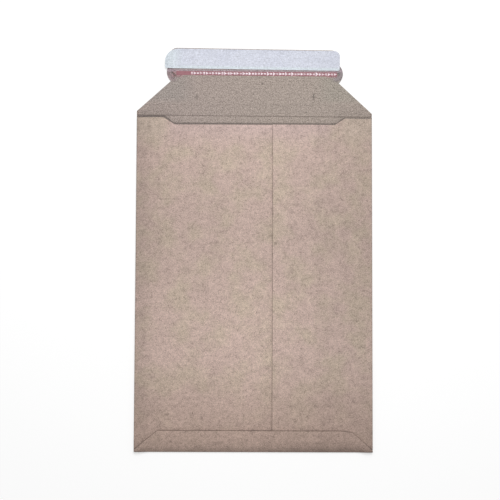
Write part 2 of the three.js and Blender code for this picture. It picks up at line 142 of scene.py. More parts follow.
# What only the look needs
FLUTE = 3.4  # pitch of the corrugation
FOLD_ARC = math.pi * (BOARD + FOLD_GAP) / 2  # length of a side fold, midway in the board
QUARTER = FOLD_ARC / 2
FOLD_TURN = 2 * FOLD_X + FOLD_ARC  # a panel's place in the flat sheet plus its folded place
BOTTOM_END = -BODY_LENGTH - 0.45
PANEL_ENDS = (BOTTOM_END + 2.4, BOTTOM_END + 10)  # where a panel ends, at its fold and inside
PANEL_END_RAMP = (4, 18)
BOTTOM_ARC = 20  # length of the bottom fold
FOLD_TIP = 1.0  # height of the foremost line of the bottom fold
INNER_TIP = 0.2  # the least height of that line inside, above the thickness of the board
FOLD_TURNS = (1.6, 12)  # how far in from that line it meets the floor, and its flap's flat
CORNER_TURN = 2.6  # both of these at the sides, where the fold is half round
CORNER_RAMP = (16, 2)  # how far in from a side fold this starts, and is complete
BOTTOM_FLAP_STARTS = (9.5, 9.3)  # where the flap narrows, left and right, past PANEL_END
BOTTOM_FLAP_RIGHT = ((34, 0, 12), (21.3, 1.6, 3))  # inset, drop, rounding of its right corner
BOTTOM_FLAP_ENDS = (2.2, 1.9)  # height of its edge above the bottom, at the left and right
BOTTOM_NICK = (0.2, 0.4)  # how far it is in from the side fold's middle, and from a panel
FOLD_START = 0.02  # how far below the crease a side fold starts
SEAM_LIFT = 0.4
SEAM_LIFT_WIDTH = 9
FLAP_LIFT = 0.4
WAVE_HEIGHT = 0.07
SECOND_WAVE = 0.7
DROOP = 1.0  # how far the layers come down over the last stretch above the bottom fold
DROOP_LENGTH = 14
FOLD_EASE = 6.5  # how much further up the bottom fold reaches on its upper half
UNCURL = 2.8  # length over which a side fold flattens out beyond the panel
CREASE_LINE = (-0.75, -0.0057)  # the mouth crease's groove: place at the middle, and slope
MOUTH_GROOVE = (0.42, 0.42)  # depth and half the width
SECOND_GROOVE = (0.2, 0.6)
CRUSH_WIDTH = 1.3  # how far in from a cut edge the die has crushed the board
CRUSH_DEPTH = 0.26
RELIEF = 0.035  # height of the washboard of the flutes on the facings
NEAR = 0.001  # an edge this near to MEETING isn't a cut


def smooth(value, start=0.0, end=1.0):
    t = np.clip((value - start) / (end - start), 0, 1)
    return t * t * (3 - 2 * t)


def spread(start, end, step):
    """Evenly spaced numbers from start to end, about a step apart."""
    return np.linspace(start, end, max(2, int(round(abs(end - start) / step)) + 1))


def joined(*runs):
    return np.unique(np.round(np.concatenate(runs), 4))


def stepped(*stops):
    """Places in runs. The stops are a place, a step, the next place, its step and so on."""
    runs = zip(stops[:-1:2], stops[2::2], stops[1::2])
    return joined(*(spread(*run) for run in runs))


def flute_angle(v):
    return 2 * math.pi * v / FLUTE


# Surfaces of the folded sleeve


def pocket_height(y):
    from_mouth = np.clip((-NOTCH_DROP - y) / MOUTH_RISE, 0, 1)
    from_bottom = np.clip((y - PANEL_END) / BOTTOM_FALL, 0, 1)
    mouth_loss = (POCKET_MIDDLE - POCKET_MOUTH) * (1 - from_mouth) ** 2
    bottom_loss = (POCKET_MIDDLE - POCKET_BOTTOM) * (1 - from_bottom) ** 2
    return POCKET_MIDDLE - mouth_loss - bottom_loss


def unevenness(x, y):
    """The slight waves of board that has been handled, and the droop to its bottom fold,
    downwards only."""
    second = SECOND_WAVE * np.sin(x / 17 - y / 29 + 2)
    waves = np.sin(x / 31 + 1.3) * np.sin(y / 47 + 0.4) + second
    from_fold = FOLD_X - np.abs(x)
    inside = smooth(from_fold, 0, 30) * smooth(y - PANEL_END, 0, 40)
    droop = smooth(PANEL_END + DROOP_LENGTH - y, 0, DROOP_LENGTH)
    lowered = WAVE_HEIGHT * (waves - (1 + SECOND_WAVE)) * inside
    return lowered - DROOP * droop * smooth(from_fold, 0, 14)


def left_under(x, y):
    arch = 1 - np.minimum(np.abs(x) / FOLD_X, 1) ** CREST_POWER
    return BOARD + FOLD_GAP + (pocket_height(y) - FOLD_GAP) * arch + unevenness(x, y)


def right_under(x, y):
    """The right panel lies over the left one's hidden edge, then runs down to its own fold.
    Its free edge at the seam has lifted a little."""
    climb = np.clip((FOLD_X - x) / (FOLD_X - HIDDEN_X - SEAM_LANDING), 0, 1)
    eased = 1 - (1 - climb) ** SEAM_EASE
    lifted = smooth(SEAM_X + SEAM_LIFT_WIDTH - x, 0, SEAM_LIFT_WIDTH)
    lifted = SEAM_LIFT * lifted * smooth(y - PANEL_END, 12, 40)
    return left_under(x, y) + (BOARD + LAYER_GAP) * eased + lifted


def bottom_flap_under(x, y):
    step = smooth(x, SEAM_X - STEP_RAMP, SEAM_X)
    on_left = left_under(x, y) + (BOARD + LAYER_GAP) * (1 + step)
    on_right = right_under(x, y) + BOARD + LAYER_GAP
    lifted = FLAP_LIFT * smooth(y - PANEL_END, 8, 17) * smooth(FOLD_X - np.abs(x), 0, 20)
    return np.where(x >= SEAM_X, on_right, on_left) + lifted


def groove(u, v):
    """Depth of the creases in the inner face of the board."""
    place, slope = CREASE_LINE
    creases = ((v - place - slope * u, MOUTH_GROOVE), (v - SPINE, SECOND_GROOVE))
    return sum(depth * np.exp(-((away / width) ** 2)) for away, (depth, width) in creases)


def quarter_length(a, b):
    """About the length of a quarter of an ellipse."""
    return math.pi / 2 * np.sqrt((a * a + b * b) / 2)


def bottom_section(x, reach):
    """Places (y, z) of the outer and the inner face of the board in the bottom fold and its
    flap, for lengths of board past PANEL_END."""
    corner = smooth(np.abs(x), *(FOLD_X - inset for inset in CORNER_RAMP))
    top = bottom_flap_under(x, np.full_like(x, PANEL_END + FOLD_EASE)) + BOARD
    tip = FOLD_TIP + (top / 2 - FOLD_TIP) * corner
    low, high = (turn + (CORNER_TURN - turn) * corner for turn in FOLD_TURNS)
    half = BOARD / 2
    depth = PANEL_END - BOTTOM_END
    lengths = [
        depth - low,
        quarter_length(low - half, tip - half),
        quarter_length(high - half, top - tip - half),
        depth + FOLD_EASE - high,
    ]
    first, second, third, whole = np.cumsum(lengths, 0)
    travel = np.clip(reach / BOTTOM_ARC, 0, 1) * whole
    lower = math.pi / 2 * np.clip((travel - first) / lengths[1], 0, 1)
    upper = math.pi / 2 * np.clip((travel - second) / lengths[2], 0, 1)
    bluntness = 4 / 3 - corner / 3
    beyond = np.maximum(travel - third, 0) + np.maximum(reach - BOTTOM_ARC, 0)
    rising = 1 - np.maximum(np.cos(upper), 0) ** bluntness
    faces = []
    for inset, front in ((0, tip), (BOARD, np.maximum(tip, BOARD + INNER_TIP))):
        turned = inset + (low - inset) * (1 - np.sin(lower))
        inwards = np.where(travel < first, depth - travel, turned)
        inwards = np.where(travel > second, inset + (high - inset) * rising + beyond, inwards)
        y = BOTTOM_END + inwards
        z_low = inset + (front - inset) * (1 - np.cos(lower))
        above = bottom_flap_under(x, y) + BOARD - inset - front
        z_high = front + above * np.sin(upper) ** bluntness
        faces.append(np.stack([y, np.where(travel > second, z_high, z_low)], 1))
    return faces


def fold_up(u, v):
    """Places of the outer and inner face for points (u, v) of the flat sheet."""
    side = np.sign(u)
    along = np.abs(u)
    past = along - FOLD_X
    drop = np.where(side < 0, SHOULDER_DROP_LEFT, SHOULDER_DROP_RIGHT)
    past_panel = smooth(PANEL_ENDS[0] - v, 0, UNCURL)
    flatness = smooth(v, -drop, 0) + past_panel
    flatness = np.where(past > QUARTER + 0.01, 0, np.minimum(flatness, 0.999))
    radius = FOLD_ARC / math.pi / (1 - flatness)
    turn = np.clip(past, 0, FOLD_ARC) / radius
    faces = []
    for arm, flat_z in ((radius + BOARD / 2, 0), (radius - BOARD / 2, BOARD)):
        x = np.where(past > 0, side * (FOLD_X + arm * np.sin(turn)), u)
        z = np.where(past > 0, BOARD / 2 + radius - arm * np.cos(turn), flat_z)
        faces.append(np.stack([x, v, z], 1))
    outer, inner = faces

    folded = past > FOLD_ARC
    x = side * (FOLD_TURN - along)
    under = np.where(side < 0, left_under(x, v), right_under(x, v))
    for face, height in ((outer, under + BOARD), (inner, under)):
        face[folded, 0] = x[folded]
        face[folded, 2] = height[folded]

    below = (v < PANEL_END - 1e-6) & ~folded
    around, within = bottom_section(outer[:, 0], PANEL_END - v)
    straight = 0.5 * smooth(past, 0, QUARTER) + 0.5 * smooth(past, QUARTER, FOLD_ARC)
    straight = (straight * (1 - past_panel))[:, None]
    for face in faces:
        share = (face[:, 2] / BOARD)[:, None]
        curved = around + (within - around) * share
        face[below, 1:] = (curved + (face[:, 1:] - curved) * straight)[below]
    return outer, inner


def layer(u, v, z, thickness):
    """The two faces of a sheet that lies at height z."""
    low = np.stack([u, v, z], 1)
    return low, low + [0, 0, thickness]


# Outlines in the flat sheet


def rounded(corners, facets=8):
    """A polygon of (x, y, radius), with each corner rounded."""
    points = []
    for i, (x, y, radius) in enumerate(corners):
        corner = Vector((x, y))
        if not radius:
            points.append(corner)
            continue
        before = (Vector(corners[i - 1][:2]) - corner).normalized()
        after = (Vector(corners[(i + 1) % len(corners)][:2]) - corner).normalized()
        half = before.angle(after) / 2
        centre = corner + (before + after).normalized() * radius / math.sin(half)
        start = corner + before * radius / math.tan(half) - centre
        turn = math.pi - 2 * half
        if start.x * (centre - corner).y - start.y * (centre - corner).x > 0:
            turn = -turn
        for k in range(facets + 1):
            points.append(centre + Matrix.Rotation(turn * k / facets, 2) @ start)
    return [(point.x, point.y) for point in points]


def rectangle(left, right, low, high):
    return [(left, low), (right, low), (right, high), (left, high)]


def skewed(points, angle):
    c, s = math.cos(angle), math.sin(angle)
    return [(x * c + y * s, y * c - x * s) for x, y in points]


def arc(x, y, radius, start, end, facets):
    angles = np.linspace(start, end, facets + 1)
    return [(x + radius * math.cos(a), y + radius * math.sin(a)) for a in angles]


def flap_outline():
    """The flap from its right root round its head to its left root."""
    tab_x = HEAD_X + TAB_STANDOUT - TAB_RADIUS
    neck_x = HEAD_X - NECK_INSET
    tab_start = math.atan2(-NECK_DROP, neck_x - tab_x)
    sides = []
    for corner, taper, lower in zip(HEAD_CORNERS, (0, HEAD_TAPER), (0, HEAD_SLOPE)):
        head_x = HEAD_X - taper
        tab_end = math.acos((head_x - tab_x) / TAB_RADIUS)
        corner_y = FLAP_REACH - lower - corner
        side = [(HALF_WIDTH, 0), (HALF_WIDTH, FLAP_SIDE), (neck_x, TAB_Y - NECK_DROP)]
        side += arc(tab_x, TAB_Y, TAB_RADIUS, tab_start, tab_end, 24)
        side += arc(head_x - corner, corner_y, corner, 0, math.pi / 2, 10)
        sides.append(side)
    left, right = sides
    return skewed(right + [(-x, y) for x, y in reversed(left)], FLAP_SKEW)


def crossings(points, y):
    """Where an open outline crosses a height, first and last."""
    found = []
    for (ax, ay), (bx, by) in zip(points, points[1:]):
        if (ay - y) * (by - y) < 0:
            found.append((ax + (bx - ax) * (y - ay) / (by - ay), y))
    return found[0], found[-1]


def slit_line(side, line):
    return [Vector((side * (HEAD_X - inset), TEAR_Y + rise)) for inset, rise in line]


slit_lines = [slit_line(-1, CHEVRON), slit_line(1, STOP_SLIT)]


def slit(points):
    """A slit's outline."""
    across = []
    for before, after in zip([points[0], *points], [*points[1:], points[-1]]):
        along = (after - before).normalized()
        across.append(Vector((-along.y, along.x)) * SLIT_WIDTH / 2)
    one_side = [tuple(p + a) for p, a in zip(points, across)]
    other_side = [tuple(p - a) for p, a in zip(points, across)]
    return one_side + other_side[::-1]


def panel_u(x, side):
    """Place in the flat sheet of a side panel's point, where x is its folded place."""
    return side * FOLD_TURN - x


def envelope_outline():
    """The sheet from the bottom flap's edge up to the middle of the spine."""
    flap = flap_outline()
    right_spine, left_spine = crossings(flap, MEETING)
    edge = FOLD_X + QUARTER
    fold_end, inner_end = PANEL_ENDS
    ramp_start, ramp_end = (HALF_WIDTH - inset for inset in PANEL_END_RAMP)

    def panel(side, drop, outer, inner, free_x, rounding):
        return [
            (side * edge, -drop, 0),
            (panel_u(outer, side), -drop, rounding),
            (panel_u(inner, side), -NOTCH_DROP, rounding),
            (panel_u(free_x, side), -NOTCH_DROP, 0),
            (panel_u(free_x, side), inner_end, 0),
            (panel_u(side * ramp_end, side), inner_end, 0),
            (panel_u(side * ramp_start, side), fold_end, 0),
            (side * edge, fold_end, 0),
        ]

    right_panel = panel(1, SHOULDER_DROP_RIGHT, *NOTCH_RIGHT, SEAM_X, NOTCH_ROUNDING / 2)
    left_panel = panel(-1, SHOULDER_DROP_LEFT, *NOTCH_LEFT, HIDDEN_X, NOTCH_ROUNDING)
    top = PANEL_END - BOTTOM_ARC - (BOTTOM_FLAP - BOTTOM_FOLD_DEPTH - FOLD_EASE)
    left_start, right_start = (PANEL_END - start for start in BOTTOM_FLAP_STARTS)
    flap_edge, flap_root = edge - BOTTOM_NICK[0], fold_end - BOTTOM_NICK[1]
    right_corner = [(HALF_WIDTH - inset, top + drop, r) for inset, drop, r in BOTTOM_FLAP_RIGHT]
    bottom = [
        (flap_edge, flap_root, 0),
        (flap_edge, right_start, 0),
        *right_corner[::-1],
        (BOTTOM_FLAP_INSET - HALF_WIDTH, top, 2),
        (-flap_edge, left_start, 0),
        (-flap_edge, flap_root, 0),
    ]
    right_root = [(*right_spine, 0), (*flap[1], 0), (HALF_WIDTH, 0, 0), (edge, -FOLD_START, 0)]
    left_root = [(-edge, -FOLD_START, 0), (-HALF_WIDTH, 0, 0), (*flap[-2], 0), (*left_spine, 0)]
    return rounded(right_root + right_panel + bottom + left_panel[::-1] + left_root)[::-1]


def flap_above():
    """The flap's outline above the middle of the spine."""
    outline = flap_outline()
    right, left = crossings(outline, MEETING)
    return [right, *(point for point in outline if point[1] > MEETING), left]


# Meshes

CLOSEST = 0.12  # the least distance between points on an outline
INSET_SHARE = 0.45  # the same for the lattice beside an outline, as a share of its spacing


def densified(loop, columns, rows, step):
    """The loop with a point wherever it crosses a lattice line, and at least each step."""
    points = []
    for a, b in zip(loop, loop[1:] + loop[:1]):
        a, b = np.array(a), np.array(b)
        length = np.linalg.norm(b - a)
        shares = list(np.linspace(0, 1, max(1, math.ceil(length / step)) + 1)[:-1])
        gap = CLOSEST / max(length, 1e-6)
        for lines, axis in ((columns, 0), (rows, 1)):
            if abs(b[axis] - a[axis]) > 1e-6:
                crossing = (lines - a[axis]) / (b[axis] - a[axis])
                shares += [t for t in crossing if gap < t < 1 - gap]
        kept = []
        for t in sorted(shares):
            if not kept or t - kept[-1] > gap:
                kept.append(t)
        points += [tuple(a + (b - a) * t) for t in kept]
    return points


def edge_distance(points, loops, real):
    """For each point: whether it is inside the loops, and how far it is from the nearest
    edge and from the nearest that is really cut."""
    inside = np.zeros(len(points), bool)
    nearest = nearest_real = np.full(len(points), 1e9)
    x, y = points.T
    for loop in loops:
        a = np.array(loop)
        for p, q in zip(a, np.roll(a, -1, 0)):
            if p[1] != q[1]:
                hits = (p[1] > y) != (q[1] > y)
                cross_x = p[0] + (q[0] - p[0]) * (y - p[1]) / (q[1] - p[1])
                inside ^= hits & (x < cross_x)
            d = q - p
            t = np.clip(((x - p[0]) * d[0] + (y - p[1]) * d[1]) / max(d @ d, 1e-12), 0, 1)
            gap = np.hypot(x - p[0] - t * d[0], y - p[1] - t * d[1])
            nearest = np.minimum(nearest, gap)
            if real(p, q):
                nearest_real = np.minimum(nearest_real, gap)
    return inside, nearest, nearest_real


def triangulate(loops, columns, rows, real, step):
    """Points and triangles that fill the loops, on a lattice of columns and rows."""
    lattice = np.stack([grid.ravel() for grid in np.meshgrid(columns, rows)], 1)
    spacing = np.minimum(*np.meshgrid(np.gradient(columns), np.gradient(rows))).ravel()
    inside, nearest, _ = edge_distance(lattice, loops, real)
    lattice = lattice[inside & (nearest > INSET_SHARE * spacing)]
    points, edges = [], []
    for loop in loops:
        fine = densified(loop, columns, rows, step)
        first = len(points)
        points += fine
        edges += [(first + i, first + (i + 1) % len(fine)) for i in range(len(fine))]
    points += [tuple(p) for p in lattice]
    found = delaunay_2d_cdt([Vector(p) for p in points], edges, [], 0, 1e-5)
    points = np.array([tuple(p) for p in found[0]])
    triangles = np.array(found[2])
    triangles = triangles[edge_distance(points[triangles].mean(1), loops, real)[0]]
    a, b, c = (points[triangles[:, k]] for k in range(3))
    area = (b[:, 0] - a[:, 0]) * (c[:, 1] - a[:, 1]) - (b[:, 1] - a[:, 1]) * (c[:, 0] - a[:, 0])
    triangles[area < 0] = triangles[area < 0][:, ::-1]
    used = np.unique(triangles)
    renumber = np.full(len(points), -1)
    renumber[used] = np.arange(len(used))
    return points[used], renumber[triangles]


def rim_edges(triangles):
    """The directed edges that belong to one triangle only."""
    directed = np.concatenate([triangles[:, [i, (i + 1) % 3]] for i in range(3)]).tolist()
    known = {tuple(e) for e in directed}
    return np.array([e for e in directed if (e[1], e[0]) not in known])


def new_object(name, data):
    made = bpy.data.objects.new(name, data)
    scene.collection.objects.link(made)
    return made


def add_mesh(name, vertices, faces, sheet, indices, materials):
    """A mesh in the frame's metres. It keeps, for the materials, each point's place in the
    flat sheet (u and v in mm, w from 0 at the outer face to 1) and its place on the object."""
    mesh = bpy.data.meshes.new(name)
    mesh.from_pydata(((vertices + [0, CREASE_Y, 0]) * MM).tolist(), [], faces)
    for attribute, values in (("sheet", sheet), ("place", vertices)):
        data = mesh.attributes.new(attribute, "FLOAT_VECTOR", "POINT").data
        data.foreach_set("vector", np.asarray(values, np.float32).ravel())
    for material in materials:
        mesh.materials.append(material)
    mesh.polygons.foreach_set("material_index", np.asarray(indices, np.int32))
    mesh.shade_smooth()
    mesh.set_sharp_from_angle(angle=math.radians(38))
    return new_object(name, mesh)


EDGE_ROWS = (0, 0.1, 0.24, 0.5, 0.76, 0.9, 1)  # heights of the points in a cut edge
HOLLOW_DEPTH = 0.55  # how far the open ends of the flutes are dimpled
HOLLOW_ALONG = 0.25  # the share of that where the cut runs along the flutes


def hollows(flat, before, points, after, real, w):
    """How far a cut edge is dimpled at height w, more where it runs across the flutes."""
    tangent = flat[after] - flat[before]
    tangent /= np.maximum(np.linalg.norm(tangent, axis=1), 1e-9)[:, None]
    across_flutes = np.abs(tangent[:, 1])
    ends = zip(flat[before], flat[points], flat[after])
    cut = np.array([real(a, b) and real(b, c) for a, b, c in ends], float)
    wave = 0.5 + 0.3 * np.sin(flute_angle(flat[points, 1]))
    open_end = smooth(np.abs(w - wave), 0.06, 0.2)
    inside = EDGE_ROWS[1] < w < EDGE_ROWS[-2]
    along = (1 - across_flutes) * HOLLOW_ALONG
    return cut * HOLLOW_DEPTH * inside * (across_flutes * open_end + along)


def dented(outer, inner, flat, from_edge):
    """The two faces with crushed edges, and the inner one with its creases and flutes."""
    across = (inner - outer) / BOARD
    crush = CRUSH_DEPTH / 2 * (1 - smooth(from_edge, 0, CRUSH_WIDTH))
    shown = smooth(FOLD_X - np.abs(flat[:, 0]), -2, 0) * smooth(flat[:, 1], -14, -12)
    ridges = RELIEF * np.cos(flute_angle(flat[:, 1])) * smooth(from_edge, 0, 3)
    dent = shown * (groove(*flat.T) - ridges)
    return outer + across * crush[:, None], inner - across * (crush + dent)[:, None]


def sheet_piece(
    name, loops, columns, rows, place, materials,
    real=lambda a, b: True, board=True, step=3, steep=False,
):
    """A flat sheet with holes, folded up by place, with its two faces and its cut edges.
    Steep cuts that close towards the outer face do so only in their lowest part."""
    flat, triangles = triangulate(loops, columns, rows, real, step)
    outer, inner = place(*flat.T)
    if board:
        outer, inner = dented(outer, inner, flat, edge_distance(flat, loops, real)[2])
    rim = rim_edges(triangles)
    points = np.unique(rim)
    neighbours = dict(rim.tolist()), dict(rim[:, ::-1].tolist())
    after, before = (np.array([side[p] for p in points.tolist()]) for side in neighbours)
    middle = (outer + inner) / 2
    outward = np.cross(middle[after] - middle[before], (inner - outer)[points])
    outward /= np.linalg.norm(outward, axis=1)[:, None]
    count = len(flat)
    vertices = [outer, inner]
    sheet = [np.column_stack([flat, np.full(count, w)]) for w in (0.0, 1.0)]
    numbers = [np.arange(count)]
    total = 2 * count
    for w in EDGE_ROWS[1:-1] if board else ():
        inset = hollows(flat, before, points, after, real, w)[:, None]
        span = (inner - outer)[points]
        gape = span * (1, 1, 0) * (smooth(w, 0, 0.15) - w) if steep else 0
        vertices.append(outer[points] + span * w + gape - outward * inset)
        sheet.append(np.column_stack([flat[points], np.full(len(points), w)]))
        row = np.zeros(count, int)
        row[points] = total + np.arange(len(points))
        numbers.append(row)
        total += len(points)
    numbers.append(count + np.arange(count))
    faces = (triangles + count).tolist() + triangles[:, ::-1].tolist()
    indices = [1] * len(triangles) + [0] * len(triangles)
    a, b = rim.T
    for low, high in zip(numbers, numbers[1:]):
        faces += np.column_stack([low[a], low[b], high[b], high[a]]).tolist()
        indices += [2] * len(rim)
    indices = [min(index, len(materials) - 1) for index in indices]
    vertices, sheet = np.concatenate(vertices), np.concatenate(sheet)
    return add_mesh(name, vertices, faces, sheet, indices, materials)


# Materials


class Nodes:
    """A node tree, with short ways to add nodes to it."""

    def __init__(self, tree):
        self.tree = tree

    def add(self, kind, **settings):
        node = self.tree.nodes.new(kind)
        for key, value in settings.items():
            setattr(node, key, value)
        return node

    def put(self, socket, value):
        if isinstance(value, bpy.types.NodeSocket):
            self.tree.links.new(value, socket)
        else:
            socket.default_value = value

    def fed(self, node, *values):
        for socket, value in zip(node.inputs, values):
            self.put(socket, value)
        return node.outputs[0]

    def named(self, node, **values):
        for name, value in values.items():
            self.put(node.inputs[name], value)
        return node

    def calc(self, operation, *values):
        return self.fed(self.add("ShaderNodeMath", operation=operation), *values)

    def chain(self, operation, result, *others):
        for value in others:
            result = self.calc(operation, result, value)
        return result

    def times(self, *values):
        return self.chain("MULTIPLY", *values)

    def plus(self, *values):
        return self.chain("ADD", *values)

    def larger(self, *values):
        return self.chain("MAXIMUM", *values)

    def minus(self, a, b):
        return self.calc("SUBTRACT", a, b)

    def size(self, value):
        return self.calc("ABSOLUTE", value)

    def line(self, value, slope, start):
        return self.calc("MULTIPLY_ADD", value, slope, start)

    def remap(self, value, low, high, new_low=0.0, new_high=1.0, soft=True):
        kind = "SMOOTHSTEP" if soft else "LINEAR"
        node = self.add("ShaderNodeMapRange", interpolation_type=kind)
        return self.fed(node, value, low, high, new_low, new_high)

    def band(self, value, centre, half, soft):
        """1 within half of centre, fading to 0 over soft."""
        return self.remap(self.size(self.minus(value, centre)), half, half + soft, 1.0, 0.0)

    def in_view(self):
        """1 for what is seen, directly or in gloss or glass, and 0 for light."""
        rays = self.add("ShaderNodeLightPath").outputs
        kinds = ("Camera", "Glossy", "Transmission")
        return self.larger(*(rays[f"Is {kind} Ray"] for kind in kinds))


class Finish(Nodes):
    """A material. Its texture follows the places in millimetres that the mesh keeps."""

    def __init__(self, name, roughness, gloss=0.25):
        self.material = bpy.data.materials.new(name)
        self.material.use_nodes = True
        super().__init__(self.material.node_tree)
        self.tree.nodes.clear()
        self.shader = self.add("ShaderNodeBsdfPrincipled")
        self.shade("Roughness", roughness)
        self.shade("Specular IOR Level", gloss)
        output = self.add("ShaderNodeOutputMaterial")
        self.put(output.inputs[0], self.shader.outputs[0])

    def shade(self, name, value):
        self.put(self.shader.inputs[name], value)

    def stored(self, name):
        return self.add("ShaderNodeAttribute", attribute_name=name).outputs["Vector"]

    def sheet(self):
        """The place in the flat sheet, as a vector without w, and as u, v and w."""
        sheet = self.stored("sheet")
        return self.scaled(sheet, FLAT), *self.axes(sheet)

    def axes(self, vector):
        """The three numbers of a vector."""
        return tuple(self.named(self.add("ShaderNodeSeparateXYZ"), Vector=vector).outputs)

    def scaled(self, vector, factors, offset=(0, 0, 0)):
        node = self.add("ShaderNodeVectorMath", operation="MULTIPLY_ADD")
        return self.fed(node, vector, factors, offset)

    def noise(self, vector, scale, detail=2.0, roughness=0.5, distortion=0.0):
        node = self.named(self.add("ShaderNodeTexNoise"), Vector=vector, Scale=scale)
        self.named(node, Detail=detail, Roughness=roughness, Distortion=distortion)
        return node.outputs["Fac"]

    def mix(self, factor, a, b):
        node = self.add("ShaderNodeMix", data_type="RGBA")
        for index, value in ((0, factor), (6, a), (7, b)):
            self.put(node.inputs[index], value)
        return node.outputs[2]

    def tinted(self, colour, *tints):
        """The colour, mixed with each (share, tint) in turn."""
        for share, tint in tints:
            colour = self.mix(share, colour, tint)
        return colour

    def toned(self, light, amount, strength=-1.0):
        """The brightness, lowered by the amount, or changed by strength times it."""
        return self.times(light, self.line(amount, strength, 1.0))

    def finish(self, colour, relief, depth, light=None):
        """Sets the colour, made brighter by light, and the relief as a bump of depth mm."""
        if light is not None:
            node = self.add("ShaderNodeVectorMath", operation="SCALE")
            colour = self.fed(self.named(node, Scale=light), colour)
        self.shade("Base Color", colour)
        bump = self.named(self.add("ShaderNodeBump"), Distance=depth * MM, Height=relief)
        self.shade("Normal", bump.outputs[0])
        return self.material


def rgb(red, green, blue):
    """An sRGB colour as Blender's linear one."""
    shares = (c / 255 for c in (red, green, blue))
    return (*(c / 12.92 if c <= 0.04045 else ((c + 0.055) / 1.055) ** 2.4 for c in shares), 1)


FLAT = (1, 1, 0)  # leaves out how deep in the board a point lies
STREAKS = (0.16, 0.9, 0)  # draws a noise out along the flutes
PAINTED_CREVICE_SHADE = 0.3  # how much painted shade darkens the colour where one layer dips under another's edge
BLUR = 0.3  # how softly printed marks and the painted shade of cuts end
DARKEST = 0.5  # the most that hairs, specks and marks together darken


def fibres(f, flat, scale, offset, thinness):
    """Short curly hairs: bits of the level lines of a noise."""
    lines = f.noise(f.scaled(flat, FLAT, offset), scale, 1.5, 0.5, 0.6)
    line = f.remap(f.size(f.minus(lines, 0.5)), 0, thinness, 1.0, 0.0)
    patches = f.noise(f.scaled(flat, FLAT, offset[::-1]), scale * 0.9, 1)
    return f.times(line, f.remap(patches, 0.56, 0.63))


def specks(f, flat, scale, offset, size, share):
    """Small dark bits, in a share of the cells."""
    place = f.scaled(flat, FLAT, offset)
    cells = f.named(f.add("ShaderNodeTexVoronoi"), Vector=place, Scale=scale)
    dot = f.remap(cells.outputs["Distance"], size * 0.4, size, 1.0, 0.0)
    return f.times(dot, f.calc("LESS_THAN", f.axes(cells.outputs["Color"])[0], share))


def varied(f, flat, octaves, streaked=0.0):
    """A brightness: 1, plus noises of the given (scale, strength), plus streaks."""
    noises = []
    for i, (scale, strength) in enumerate(octaves):
        place = f.scaled(flat, FLAT, (17 * i, 41 * i, 0))
        noises.append((f.noise(place, scale, 1.5, 0.5), strength))
    if streaked:
        noises.append((f.noise(f.scaled(flat, STREAKS, (7, 3, 0)), 1.0, 2), streaked))
    light = 1.0
    for noise, strength in noises:
        light = f.line(f.minus(noise, 0.5), strength, light)
    return light


def bottom_flap_edge(f, x):
    """Height of the bottom flap's free edge along x."""
    left, right = (end - BOTTOM_FLAP for end in BOTTOM_FLAP_ENDS)
    (gentle, _, _), (steep, drop, _) = BOTTOM_FLAP_RIGHT
    slopes = (
        (-HALF_WIDTH, BOTTOM_FLAP_INSET - HALF_WIDTH, left, 0),
        (HALF_WIDTH - gentle, HALF_WIDTH - steep, 0, -drop),
        (HALF_WIDTH - steep, HALF_WIDTH, 0, drop + right),
    )
    top = BOTTOM_FLAP - BODY_LENGTH
    return f.plus(*(f.remap(x, *slope, soft=False) for slope in slopes), top)


